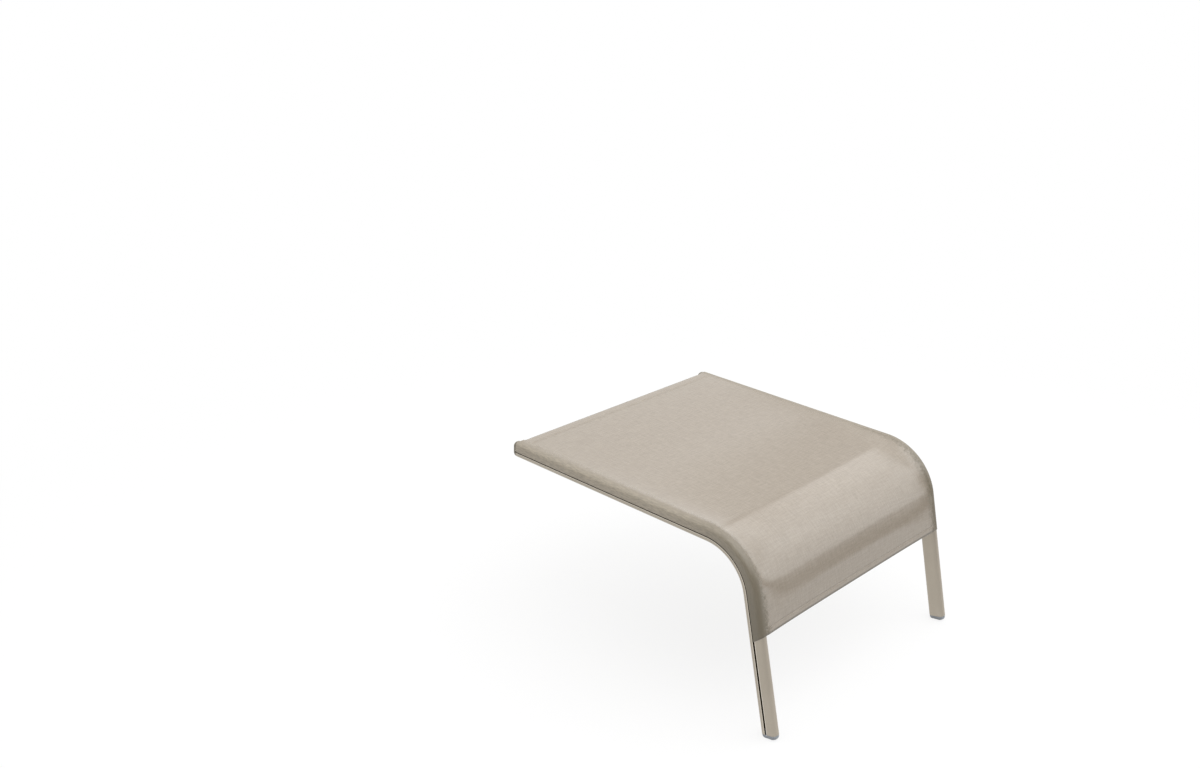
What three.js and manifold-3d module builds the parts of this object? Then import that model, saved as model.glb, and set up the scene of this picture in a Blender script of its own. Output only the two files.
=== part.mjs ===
// Hook-on footrest for a garden lounge chair: a bent aluminium frame with a stretched sling.
// Millimetres. +X is to the right seen from the leg end, -Y is the leg end, +Y is the chair's side,
// +Z is up, and the floor is Z = 0. The origin lies on the floor under the middle of the whole piece.
import * as THREE from 'three';
import { mergeVertices } from 'three/addons/utils/BufferGeometryUtils.js';
import Module from 'manifold-3d';

const wasm = await Module();
wasm.setup();

// Overall size and the line that both side rails follow
const overallWidth = 550;
const legLength = 252;
const bendRadius = 97;
const seatLength = 452.5;
const legLeanDegrees = 11.7;
const seatSlopeDegrees = 2;

// Clearances
const seam = 0.3;
const overrun = 2;

// Side rail: a rounded flat tube with a groove for the sling's edge in its outer face
const railWidth = 17;
const railHeight = 30;
const railCorner = 7.5;
const railWall = 1.8;
const grooveBelowMiddle = 3.5;
const slotWidth = 3;
const channelRadius = 3.9;
const channelWall = 1.4;

// Sling cloth
const clothThickness = 1;
const hemUpLeg = 181;
const hemHeight = 11;
const hemSlant = 9;
const seatSag = 5;
const bendDraw = 14;
const hemDraw = 3;
const sagKneeShare = 0.45;
const turnLead = 4;
const acrossShares = [0.84, 0.56, 0];
const bowPower = 4;
const seatStationShares = [0.2, 0.45, 0.72, 1];

// Foot glide and rail end cap
const legEndGap = 7.5;
const plugInset = 0.4;
const glideFlange = 1.8;
const glideDrop = 8.4;
const glideStem = 16;
const glideRingShares = [[0, 1], [0.2, 0.95], [0.45, 0.81], [0.68, 0.62], [0.86, 0.41], [1, 0.2]];
const capFlange = 1.6;
const capDome = 5.6;
const capStem = 4.4;
const capRingShares = [[0, 1], [0.3, 0.985], [0.6, 0.92], [0.84, 0.78], [0.96, 0.58], [1, 0.36]];

// Cross tubes
const tubeDiameter = 19;
const tubeWall = 1.6;
const frontTubeUpLeg = 214;
const frontTubeBehind = 4;
const hookTubeFromRear = 60.7;
const hookTubeAbove = 1;
const rearTubeFromEnd = 8.6;

// Screw joint of the rear tube
const boltDiameter = 5;
const boltHeadDiameter = 7.4;
const boltHeadHeight = 4;
const boltReach = 14;
const accessDiameter = 9;
const plugLength = 18;

// Chair hooks, their liners and screws
const hookSpacing = 300;
const hookWidth = 30;
const hookThickness = 5;
const hookBehindEnd = 36.5;
const hookDrop = 24;
const hookBend = 8;
const hookFrontOverlap = 14;
const linerThickness = 2;
const linerStart = -1.5;
const screwDiameter = 5;
const screwHeadDiameter = 10;
const screwHeadHeight = 3;
const screwHeadShares = [[1, 0], [0.8, 0.7], [0.5, 1]];
const screwReach = 8;
const screwSpacing = 16;

// Facets
const cornerSteps = 5;
const clothCornerSteps = 4;
const channelSteps = 8;
const ringSteps = 6;
const tubeSides = 24;
const bendSteps = 9;
const turnSteps = 4;
const hookArcSteps = 4;
const pocketSteps = 12;

// Sizes that follow from the ones above
const railX = overallWidth / 2 - clothThickness - seam - railWidth / 2;
const railEnd = { width: railWidth / 2, height: railHeight / 2, corner: railCorner };
const chamber = {
  width: railEnd.width - railWall,
  height: railEnd.height - railWall,
  corner: railCorner - railWall,
};
const slotAngle = Math.asin(slotWidth / 2 / channelRadius);
const channel = {
  s: railEnd.width - railWall - channelRadius * Math.cos(slotAngle),
  t: -grooveBelowMiddle,
};
const boreRadius = tubeDiameter / 2 - tubeWall;
const innerFaceX = railX - railEnd.width;
const tubeLength = 2 * (innerFaceX - seam);

const aluminium = new THREE.MeshStandardMaterial({ color: 0xaba293, roughness: 0.38, metalness: 0.25 });
const cloth = new THREE.MeshStandardMaterial({ color: 0xb5aa9a, roughness: 0.62, metalness: 0 });
const nylon = new THREE.MeshStandardMaterial({ color: 0x8e9196, roughness: 0.45, metalness: 0 });
const capPlastic = new THREE.MeshStandardMaterial({ color: 0x9c9283, roughness: 0.5, metalness: 0 });
const rodPlastic = new THREE.MeshStandardMaterial({ color: 0xd8d4cb, roughness: 0.5, metalness: 0 });
const steel = new THREE.MeshStandardMaterial({ color: 0xb9bbbd, roughness: 0.3, metalness: 0.9 });

const footrest = new THREE.Group();

// The rails' centre line in the plane of the bend. Distances run from the floor, up the leg, round
// the bend and back along the seat. Each place has its position, the line's heading, and the
// normal that points away from the bend's centre.
const legHeading = Math.PI / 2 - THREE.MathUtils.degToRad(legLeanDegrees);
const seatHeading = THREE.MathUtils.degToRad(seatSlopeDegrees);
const bendLength = bendRadius * (legHeading - seatHeading);
const railLength = legLength + bendLength + seatLength;

function place(distance) {
  const upLeg = Math.min(distance, legLength);
  const turned = THREE.MathUtils.clamp((distance - legLength) / bendRadius, 0, legHeading - seatHeading);
  const heading = legHeading - turned;
  const onSeat = Math.max(distance - legLength - bendLength, 0);
  const y = upLeg * Math.cos(legHeading) + bendRadius * (Math.sin(legHeading) - Math.sin(heading))
    + onSeat * Math.cos(heading);
  const z = upLeg * Math.sin(legHeading) + bendRadius * (Math.cos(heading) - Math.cos(legHeading))
    + onSeat * Math.sin(heading);
  return { y, z, heading };
}

// A point beside the centre line: x across the footrest, t along the normal
function beside(distance, x, t) {
  const at = place(distance);
  return [x, at.y - t * Math.sin(at.heading), at.z + t * Math.cos(at.heading)];
}

function arc(x, y, radius, from, to, steps) {
  const points = [];
  for (let i = 0; i <= steps; i += 1) {
    const angle = THREE.MathUtils.lerp(from, to, i / steps);
    points.push(new THREE.Vector2(x + radius * Math.cos(angle), y + radius * Math.sin(angle)));
  }
  return points;
}

const right = 0;
const top = Math.PI / 2;
const left = Math.PI;
const bottom = Math.PI * 1.5;
const around = Math.PI * 2;

// A closed mesh whose faces point outwards, also after a mirroring map
function outward(geometry) {
  geometry.deleteAttribute('normal');
  geometry.deleteAttribute('uv');
  const merged = mergeVertices(geometry);
  const point = merged.getAttribute('position');
  const index = merged.getIndex();
  const [a, b, c] = [new THREE.Vector3(), new THREE.Vector3(), new THREE.Vector3()];
  let volume = 0;
  for (let i = 0; i < index.count; i += 3) {
    a.fromBufferAttribute(point, index.getX(i));
    b.fromBufferAttribute(point, index.getX(i + 1));
    c.fromBufferAttribute(point, index.getX(i + 2));
    volume += a.dot(b.cross(c));
  }
  if (volume < 0) {
    for (let i = 0; i < index.count; i += 3) {
      const first = index.getX(i);
      index.setX(i, index.getX(i + 2));
      index.setX(i + 2, first);
    }
  }
  merged.computeVertexNormals();
  return merged;
}

// Splits every wall quad of an extrusion from its outer to its inner corner, whichever way the outline
// runs there, so that the two faces of a thin sheet fold alike and never cross
function foldAlike(geometry) {
  const point = geometry.getAttribute('position');
  const walls = geometry.groups.find((group) => group.materialIndex === 1);
  const quad = [0, 1, 2, 3, 4, 5];
  for (let i = walls.start; i < walls.start + walls.count; i += quad.length) {
    const [a, b, d, , c] = quad.map((n) => new THREE.Vector3().fromBufferAttribute(point, i + n));
    if (Math.abs(b.x) < Math.abs(a.x)) {
      [a, b, c, a, c, d].forEach((corner, n) => point.setXYZ(i + n, ...corner));
    }
  }
}

// An outline pushed through a row of stations, each point mapped by its station's own rule
function sweep(outline, holes, stations, map) {
  const shape = new THREE.Shape(outline);
  shape.holes = holes.map((hole) => new THREE.Path(hole));
  const steps = stations.length - 1;
  const geometry = new THREE.ExtrudeGeometry(shape, { depth: 1, steps, bevelEnabled: false });
  foldAlike(geometry);
  const point = geometry.getAttribute('position');
  for (let i = 0; i < point.count; i += 1) {
    const station = stations[Math.round(point.getZ(i) * steps)];
    point.setXYZ(i, ...map(station, point.getX(i), point.getY(i)));
  }
  return outward(geometry);
}

function toManifold(geometry) {
  const plain = geometry.clone();
  plain.deleteAttribute('normal');
  plain.deleteAttribute('uv');
  const merged = mergeVertices(plain);
  return new wasm.Manifold(new wasm.Mesh({
    numProp: 3,
    vertProperties: new Float32Array(merged.getAttribute('position').array),
    triVerts: new Uint32Array(merged.getIndex().array),
  }));
}

function fromManifold(body) {
  const mesh = body.getMesh();
  const geometry = new THREE.BufferGeometry();
  geometry.setAttribute('position', new THREE.BufferAttribute(new Float32Array(mesh.vertProperties), 3));
  geometry.setIndex(new THREE.BufferAttribute(new Uint32Array(mesh.triVerts), 1));
  return outward(geometry);
}

function cut(geometry, ...tools) {
  return fromManifold(tools.reduce((body, tool) => body.subtract(toManifold(tool)), toManifold(geometry)));
}

function join(geometry, ...others) {
  return fromManifold(others.reduce((body, other) => body.add(toManifold(other)), toManifold(geometry)));
}

function mirrored(geometry) {
  return outward(geometry.clone().scale(-1, 1, 1));
}

function add(name, geometry, material, parent = footrest) {
  const mesh = new THREE.Mesh(geometry, material);
  mesh.name = name;
  parent.add(mesh);
  return mesh;
}

// The same piece on both sides, built on the right
function addPair(name, geometry, material, parent = footrest) {
  add(`right_${name}`, geometry, material, parent);
  add(`left_${name}`, mirrored(geometry), material, parent);
}

function stationsAlong(from, to) {
  const stations = [from];
  for (let i = 0; i <= bendSteps; i += 1) {
    stations.push(legLength + (bendLength * i) / bendSteps);
  }
  stations.push(to);
  return stations;
}

// What sits at the seat's rear is placed from the rails' ends: y runs back along the seat, z is its normal
const rearEnd = place(railLength);
const rear = new THREE.Group();
rear.position.set(0, rearEnd.y, rearEnd.z);
rear.rotation.x = rearEnd.heading;
rear.updateMatrix();
footrest.add(rear);
const rearTube = { y: -rearTubeFromEnd, z: railEnd.height - tubeDiameter / 2 - seam };
const hookTube = { y: -rearTubeFromEnd - hookTubeFromRear, z: hookTubeAbove };

// Side rails: one extrusion each, bent once into leg and seat side, with the cloth groove outside
// and a chamber inside that passes round the groove's channel
function roundedBar({ width, height, corner }) {
  const [s, t] = [width - corner, height - corner];
  return [
    ...arc(s, t, corner, right, top, cornerSteps),
    ...arc(-s, t, corner, top, left, cornerSteps),
    ...arc(-s, -t, corner, left, bottom, cornerSteps),
    ...arc(s, -t, corner, bottom, around, cornerSteps),
  ];
}

const railOutline = [
  ...roundedBar(railEnd),
  new THREE.Vector2(railEnd.width, channel.t - slotWidth / 2),
  ...arc(channel.s, channel.t, channelRadius, -slotAngle, slotAngle - around, channelSteps),
  new THREE.Vector2(railEnd.width, channel.t + slotWidth / 2),
];
const channelBack = channelRadius + channelWall;
const backAngle = Math.acos((chamber.width - channel.s) / channelBack);
const chamberOutline = [
  ...roundedBar(chamber),
  ...arc(channel.s, channel.t, channelBack, -backAngle, backAngle - around, channelSteps),
];
const bare = sweep(railOutline, [chamberOutline], stationsAlong(legEndGap, railLength),
  (distance, s, t) => beside(distance, railX + s, t));

// A round bar across the footrest, from one x to another, at the rear tube
function rearCrossBar(diameter, fromX, toX) {
  const bar = new THREE.CylinderGeometry(diameter / 2, diameter / 2, toX - fromX, tubeSides);
  bar.rotateZ(top);
  bar.translate((fromX + toX) / 2, rearTube.y, rearTube.z);
  return bar.applyMatrix4(rear.matrix);
}

const boltHole = rearCrossBar(boltDiameter + 2 * seam, innerFaceX - overrun, railX);
const accessHole = rearCrossBar(accessDiameter, railX, railX + railEnd.width + overrun);
addPair('side_rail', cut(bare, boltHole, accessHole), aluminium);

// Cross tubes: the front and the hook tube are welded between the rails, the rear one is bolted in
// once the cloth's pocket is over it, which spreads the rails and stretches the cloth
function crossTube(length) {
  const wall = new THREE.Shape().absarc(0, 0, tubeDiameter / 2, 0, around);
  wall.holes.push(new THREE.Path().absarc(0, 0, boreRadius, 0, around, true));
  const tube = new THREE.ExtrudeGeometry(wall, {
    depth: length,
    bevelEnabled: false,
    curveSegments: tubeSides,
  });
  tube.translate(0, 0, -length / 2);
  tube.rotateY(top);
  return outward(tube);
}

const frontTubeAt = beside(frontTubeUpLeg, 0, -frontTubeBehind);
add('front_cross_tube', crossTube(tubeLength), aluminium).position.set(...frontTubeAt);
add('rear_cross_tube', crossTube(tubeLength), aluminium, rear).position.set(0, rearTube.y, rearTube.z);

// Threaded plugs in the rear tube's ends, and the bolts, whose heads sit in the rails' chambers
const boltAxis = new THREE.Group();
boltAxis.position.set(0, rearTube.y, rearTube.z);
rear.add(boltAxis);

function revolveAcross(profile, x) {
  const turned = new THREE.LatheGeometry(profile.map(([r, h]) => new THREE.Vector2(r, h)), tubeSides);
  turned.rotateZ(-top);
  turned.translate(x, 0, 0);
  return outward(turned);
}

const plugEndX = innerFaceX - seam;
addPair('rear_tube_plug', revolveAcross([
  [boltDiameter / 2 + seam, -plugLength],
  [boreRadius - seam, -plugLength],
  [boreRadius - seam, 0],
  [boltDiameter / 2 + seam, 0],
  [boltDiameter / 2 + seam, -plugLength],
], plugEndX), steel, boltAxis);

const headSeatX = innerFaceX + railWall + seam;
addPair('rear_tube_bolt', revolveAcross([
  [0, -boltReach],
  [boltDiameter / 2, -boltReach],
  [boltDiameter / 2, 0],
  [boltHeadDiameter / 2, 0],
  [boltHeadDiameter / 2, boltHeadHeight],
  [0, boltHeadHeight],
], headSeatX), steel, boltAxis);

// Foot glides and rail end caps: a flange as wide as the rail, a dome outside it, and a stem
// pressed into the chamber. The glide's dome is cut level where it stands on the floor
const flangeOutline = roundedBar({
  width: railEnd.width - plugInset,
  height: railEnd.height - plugInset,
  corner: railCorner - plugInset,
});
const stemTop = chamber.corner - seam;
const stemCorner = { s: chamber.width - chamber.corner, t: chamber.height - chamber.corner };
const stemBottom = channel.t + channelBack + seam;
const stemOutline = [
  new THREE.Vector2(-chamber.width + seam, stemBottom),
  new THREE.Vector2(chamber.width - seam, stemBottom),
  ...arc(stemCorner.s, stemCorner.t, stemTop, right, top, cornerSteps),
  ...arc(-stemCorner.s, stemCorner.t, stemTop, top, left, cornerSteps),
];

// way is 1 where the dome points along the rail's line and -1 where it points against it
function plug(end, way, flange, dome, ringShares, stem) {
  const face = end + way * seam;
  const rings = ringShares.map(([out, size]) => ({ distance: face + way * (flange + out * dome), size }));
  rings.unshift({ distance: face, size: 1 });
  const head = sweep(flangeOutline, [], rings,
    (ring, s, t) => beside(ring.distance, railX + s * ring.size, t * ring.size));
  const pressed = sweep(stemOutline, [], [face + way * (flange / 2), face - way * stem],
    (distance, s, t) => beside(distance, railX + s, t));
  return join(head, pressed);
}

const floorBlock = new THREE.BoxGeometry(overallWidth, overallWidth, overallWidth);
floorBlock.translate(railX, 0, -overallWidth / 2);
const glide = plug(legEndGap, -1, glideFlange, glideDrop - glideFlange, glideRingShares, glideStem);
addPair('foot_glide', cut(glide, floorBlock), nylon);
addPair('rail_end_cap', plug(railLength, 1, capFlange, capDome, capRingShares, capStem), capPlastic);

// Keder rods: a round plastic rod in the hem along each side of the cloth, held in the rail's channel
const edgeRing = { outer: channelRadius - seam, inner: channelRadius - seam - clothThickness };
const rodOutline = arc(channel.s, channel.t, edgeRing.inner - seam, 0, around, ringSteps).slice(1);
addPair('keder_rod', sweep(rodOutline, [], stationsAlong(hemUpLeg - hemSlant, railLength - seam),
  (distance, s, t) => beside(distance, railX + s, t)), rodPlastic);

// The cloth leaves the channel, wraps the rail's outer face and top, crosses to the other rail and
// is held the same way there. Its outline is the section at the hem, where the middle already hangs
// in a little. It runs from the middle out along the inner face, round the rod, and back outside
const under = railEnd.height + seam;
const over = under + clothThickness;
const tail = { top: channel.t + slotWidth / 2 - seam, bottom: channel.t + slotWidth / 2 - seam - clothThickness };
const clothHalf = railX - (railEnd.width - railCorner);
const cornerS = railEnd.width - railCorner;
const cornerT = railEnd.height - railCorner;
const acrossXs = acrossShares.map((share) => share * clothHalf);
const middleOfCloth = under + clothThickness / 2;

function bow(x) {
  return Math.abs(x) < clothHalf ? 1 - Math.abs(x / clothHalf) ** bowPower : 0;
}

function acrossPoint(x, t) {
  return new THREE.Vector2(x, t - hemDraw * bow(x));
}

const sideOutline = [
  ...acrossXs.toReversed().map((x) => acrossPoint(x, under)),
  new THREE.Vector2(clothHalf, under),
  ...arc(railX + cornerS, cornerT, railCorner + seam, top, right, clothCornerSteps),
  new THREE.Vector2(railX + railEnd.width + seam, tail.top),
  ...arc(railX + channel.s, channel.t, edgeRing.outer,
    Math.asin((tail.top - channel.t) / edgeRing.outer),
    around + Math.asin((tail.bottom - channel.t) / edgeRing.outer), ringSteps),
  new THREE.Vector2(railX + railEnd.width + seam, tail.bottom),
  new THREE.Vector2(railX + railEnd.width + seam + clothThickness, tail.bottom + clothThickness),
  ...arc(railX + cornerS, cornerT, railCorner + seam + clothThickness, right, top, clothCornerSteps),
  new THREE.Vector2(clothHalf, over),
  ...acrossXs.map((x) => acrossPoint(x, over)),
];
const otherSide = sideOutline.slice(1, -1).toReversed().map((point) => new THREE.Vector2(-point.x, point.y));
const clothOutline = [...sideOutline, ...otherSide];
const rodTunnels = [1, -1].map((side) =>
  arc(side * (railX + channel.s), channel.t, edgeRing.inner, 0, around, ringSteps).slice(1));

// How far the cloth's middle is drawn in from the rails' outer line: most at the bend
const turnCentre = railLength - rearTubeFromEnd;
const drawKnots = [
  [hemUpLeg, hemDraw],
  [legLength + bendLength / 2, bendDraw],
  [legLength + bendLength + seatLength * sagKneeShare, seatSag],
  [turnCentre - turnLead, 0],
];

function draw(distance) {
  if (distance >= drawKnots.at(-1)[0]) {
    return 0;
  }
  const next = Math.max(1, drawKnots.findIndex(([at]) => at > distance));
  const [[from, low], [to, high]] = drawKnots.slice(next - 1, next + 1);
  const share = THREE.MathUtils.clamp((distance - from) / (to - from), 0, 1);
  return THREE.MathUtils.lerp(low, high, (1 - Math.cos(Math.PI * share)) / 2);
}

function clothPoint(station, x, hung) {
  const t = hung + hemDraw * bow(x);
  const round = THREE.MathUtils.clamp((under - t) / (under - tail.top), 0, 1);
  const lowered = Math.abs(x) < clothHalf && t < middleOfCloth ? station.fold : 0;
  return beside(station.at - station.slant * round, x, t - lowered - draw(station.at) * bow(x));
}

// The leg end is turned under and sewn, so the cloth is two layers thick there between the rails
const hemTop = hemUpLeg + hemHeight;
const seatStart = legLength + bendLength;
const clothStations = [
  { at: hemUpLeg, slant: hemSlant, fold: clothThickness },
  { at: hemTop, slant: 0, fold: clothThickness },
  ...[
    hemTop + clothThickness,
    ...stationsAlong(0, 0).slice(1, -1),
    ...seatStationShares.map((share) => THREE.MathUtils.lerp(seatStart, turnCentre - turnLead, share)),
    railLength,
  ].map((at) => ({ at, slant: 0, fold: 0 })),
];
const sheet = sweep(clothOutline, rodTunnels, clothStations, clothPoint);

// At the rear the sides run on to the rails' ends. Between them the cloth is notched out and turns
// down over the rear tube
const notchDepth = rearTubeFromEnd + overrun;
const notch = new THREE.BoxGeometry(2 * (innerFaceX - seam), notchDepth, clothThickness + 2 * overrun);
notch.translate(0, notchDepth / 2 - rearTubeFromEnd, middleOfCloth);
notch.applyMatrix4(rear.matrix);
const turnOutline = [
  new THREE.Vector2(rearTube.y - turnLead, under),
  ...arc(rearTube.y, rearTube.z, under - rearTube.z, top, right, turnSteps),
  ...arc(rearTube.y, rearTube.z, over - rearTube.z, right, top, turnSteps),
  new THREE.Vector2(rearTube.y - turnLead, over),
];
const turnHalf = innerFaceX - 2 * seam;
const turn = sweep(turnOutline, [], [-turnHalf, turnHalf],
  (x, along, t) => beside(railLength + along, x, t));
add('sling', join(cut(sheet, notch), turn), cloth);

// Pocket: a strip of the same cloth sewn under the sling's rear edge, round the rear tube
const pocketInner = tubeDiameter / 2 + 2 * seam;
const pocketOuter = pocketInner + clothThickness;
const pocketFrom = -seam / pocketInner;
const pocketTo = -left - Math.asin((under - seam - rearTube.z) / pocketOuter);
const pocketOutline = [
  ...arc(rearTube.y, rearTube.z, pocketInner, pocketFrom, pocketTo, pocketSteps),
  ...arc(rearTube.y, rearTube.z, pocketOuter, pocketTo, pocketFrom, pocketSteps),
];
const pocket = sweep(pocketOutline, [], [-turnHalf, turnHalf], (x, y, z) => [x, y, z]);
add('rear_hem_pocket', pocket, cloth, rear);

// Chair hooks: flat bars bent down at the rear, screwed under the hook tube
const armTop = hookTube.z - tubeDiameter / 2 - seam;
const armBottom = armTop - hookThickness;
const lipEnd = armBottom - hookDrop;
const inBend = hookBend - hookThickness;
const hookFront = hookTube.y - hookFrontOverlap;
const lipBack = hookBehindEnd;
const lipFront = hookBehindEnd - hookThickness;
const hookOutline = [
  new THREE.Vector2(hookFront, armTop),
  new THREE.Vector2(hookFront, armBottom),
  ...arc(lipFront - inBend, armBottom - inBend, inBend, top, right, hookArcSteps),
  ...arc(lipFront + hookThickness / 2, lipEnd, hookThickness / 2, left, around, hookArcSteps),
  ...arc(lipBack - hookBend, armTop - hookBend, hookBend, right, top, hookArcSteps),
];

function upright(diameter, fromZ, toZ, x) {
  const bar = new THREE.CylinderGeometry(diameter / 2, diameter / 2, toZ - fromZ, tubeSides);
  bar.rotateX(top);
  bar.translate(x, hookTube.y, (fromZ + toZ) / 2);
  return bar;
}

const screwXs = [-screwSpacing / 2, screwSpacing / 2].map((offset) => hookSpacing / 2 + offset);
const screwHole = screwDiameter + 2 * seam;
const hookBar = sweep(hookOutline, [],
  [hookSpacing / 2 - hookWidth / 2, hookSpacing / 2 + hookWidth / 2], (x, y, z) => [x, y, z]);
const armHoles = screwXs.map((x) => upright(screwHole, armBottom - overrun, armTop + overrun, x));
addPair('chair_hook', cut(hookBar, ...armHoles), aluminium, rear);

const tubeHoles = [...screwXs, ...screwXs.map((x) => -x)].map((x) =>
  upright(screwHole, armTop, hookTube.z, x));
const hookTubeBody = crossTube(tubeLength).translate(0, hookTube.y, hookTube.z);
add('hook_cross_tube', cut(hookTubeBody, ...tubeHoles), aluminium, rear);

const screwHeadTop = armBottom - seam;
const screwProfile = [
  [0, armBottom + hookThickness + screwReach],
  [screwDiameter / 2, armBottom + hookThickness + screwReach],
  [screwDiameter / 2, screwHeadTop],
  ...screwHeadShares.map(([size, down]) => [
    (screwHeadDiameter / 2) * size,
    screwHeadTop - screwHeadHeight * down,
  ]),
  [0, screwHeadTop - screwHeadHeight],
];
['inner', 'outer'].forEach((where, i) => {
  const screw = new THREE.LatheGeometry(screwProfile.map(([r, h]) => new THREE.Vector2(r, h)), tubeSides);
  screw.rotateX(top);
  screw.translate(screwXs[i], hookTube.y, 0);
  addPair(`hook_${where}_screw`, outward(screw), steel, rear);
});

// Hook liners: plastic strips that keep the hooks from scratching the chair's front rail
const linerTop = armBottom - seam;
const linerBack = lipFront - seam;
const linerBend = Math.max(inBend - seam, seam);
const linerOutline = [
  new THREE.Vector2(linerStart, linerTop),
  new THREE.Vector2(linerStart, linerTop - linerThickness),
  new THREE.Vector2(linerBack - linerThickness, linerTop - linerThickness),
  new THREE.Vector2(linerBack - linerThickness, lipEnd),
  new THREE.Vector2(linerBack, lipEnd),
  ...arc(linerBack - linerBend, linerTop - linerBend, linerBend, right, top, hookArcSteps),
];
addPair('hook_liner', sweep(linerOutline, [],
  [hookSpacing / 2 - hookWidth / 2, hookSpacing / 2 + hookWidth / 2], (x, y, z) => [x, y, z]), nylon, rear);

// The origin goes under the middle of the whole piece
const bounds = new THREE.Box3().setFromObject(footrest);
footrest.position.y = -(bounds.min.y + bounds.max.y) / 2;
footrest.updateMatrixWorld(true);

export default footrest;
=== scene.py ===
import math

import bmesh
import bpy
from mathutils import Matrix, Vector


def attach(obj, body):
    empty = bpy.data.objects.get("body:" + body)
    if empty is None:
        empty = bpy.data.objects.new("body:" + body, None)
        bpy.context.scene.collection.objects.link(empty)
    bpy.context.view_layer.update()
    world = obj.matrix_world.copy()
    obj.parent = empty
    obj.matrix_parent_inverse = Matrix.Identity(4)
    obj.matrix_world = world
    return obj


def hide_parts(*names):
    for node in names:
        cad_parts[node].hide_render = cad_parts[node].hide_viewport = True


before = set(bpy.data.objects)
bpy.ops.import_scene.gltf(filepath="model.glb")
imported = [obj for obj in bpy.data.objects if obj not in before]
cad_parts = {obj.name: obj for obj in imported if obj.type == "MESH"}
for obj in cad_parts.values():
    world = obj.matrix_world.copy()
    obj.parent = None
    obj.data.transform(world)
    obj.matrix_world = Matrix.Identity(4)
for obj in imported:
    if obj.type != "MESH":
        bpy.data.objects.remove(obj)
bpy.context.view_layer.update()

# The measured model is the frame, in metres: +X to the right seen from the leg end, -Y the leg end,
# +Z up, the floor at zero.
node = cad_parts

# The camera looks down on the near rail from the leg end's left, as the photograph does.
CAMERA_AT = Vector((-1.7648, -1.3555, 1.2718))
CAMERA_TO = Vector((0.3703, 0.6856, 0.2))
LENS_MM = 39.03
SENSOR_MM = 36
camera = bpy.data.objects.new("camera", bpy.data.cameras.new("camera"))
camera.data.lens = LENS_MM
camera.data.sensor_width = SENSOR_MM
camera.data.clip_end = 100
camera.location = CAMERA_AT
camera.rotation_euler = (CAMERA_TO - CAMERA_AT).to_track_quat("-Z", "Y").to_euler()
bpy.context.scene.collection.objects.link(camera)
bpy.context.scene.camera = camera
bpy.context.scene.view_settings.view_transform = "Standard"


# Studio: a white paper floor that keeps a soft shadow, and a surround that is white behind and darker
# in front. A large soft lamp stands far off at the right, with a low one beside it and three narrow
# ones at its far end, and a plain soft lamp hangs in front.
class Tone:
    """A shader value or colour that adds, scales and mixes with others."""

    def __init__(self, tree, socket):
        self.tree = tree
        self.socket = socket

    def node(self, kind, settings=None, inputs=None, output=0):
        made = self.tree.nodes.new("ShaderNode" + kind)
        for name, value in (settings or {}).items():
            setattr(made, name, value)
        for key, value in (inputs or {}).items():
            if isinstance(value, Tone):
                self.tree.links.new(value.socket, made.inputs[key])
            else:
                made.inputs[key].default_value = value
        return Tone(self.tree, made.outputs[output] if made.outputs else None)

    def maths(self, operation, *others):
        values = dict(enumerate((self, *others)))
        return self.node("Math", {"operation": operation}, values)

    def __add__(self, other):
        return self.maths("ADD", other)

    def __sub__(self, other):
        return self.maths("SUBTRACT", other)

    def __rsub__(self, other):
        return self.maths("MULTIPLY_ADD", -1.0, other)

    def __mul__(self, other):
        return self.maths("MULTIPLY", other)

    def __truediv__(self, other):
        return self.maths("DIVIDE", other)

    __radd__ = __add__
    __rmul__ = __mul__

    def between(self, low, high):
        """0 below low, 1 above high, smooth between."""
        return self.node("MapRange", {"interpolation_type": "SMOOTHSTEP"},
                         {"Value": self, "From Min": low, "From Max": high})

    def blend(self, first, second):
        """From the first colour to the second by this share."""
        return self.node("Mix", {"data_type": "RGBA"}, {0: self, 6: first, 7: second}, 2)

    def noise(self, scale, detail=2.0, roughness=0.5):
        """Soft noise from 0 to 1 at this place, scale being blobs to a metre."""
        return self.node("TexNoise", None,
                         {"Vector": self, "Scale": scale, "Detail": detail, "Roughness": roughness})

    def stretched(self, x, y, z):
        """The same place with each axis scaled, so that a noise on it is drawn out."""
        return self.node("VectorMath", {"operation": "MULTIPLY"}, {0: self, 1: (x, y, z)})

    def axis(self, index):
        return self.node("SeparateXYZ", None, {0: self}, index)


def colour(red, green, blue):
    """A colour as seen on a screen, 0 to 255, as the light it stands for."""
    def light(value):
        share = value / 255
        return share / 12.92 if share <= 0.04045 else ((share + 0.055) / 1.055) ** 2.4
    return (light(red), light(green), light(blue), 1.0)


def emptied(holder):
    """A start for the nodes of a material or world that has none of its own."""
    holder.use_nodes = True
    holder.node_tree.nodes.clear()
    return Tone(holder.node_tree, None)


def material(name):
    """A new node material, its surface shader, and a start for the nodes that paint it."""
    made = bpy.data.materials.new(name)
    made.use_nodes = True
    shader = made.node_tree.nodes["Principled BSDF"]
    start = Tone(made.node_tree, None)
    return made, shader, start


def paint(shader, start, values):
    """Sets the shader's own sockets, and links those that vary."""
    for key, value in values.items():
        if isinstance(value, Tone):
            start.tree.links.new(value.socket, shader.inputs[key])
        else:
            shader.inputs[key].default_value = value


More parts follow.
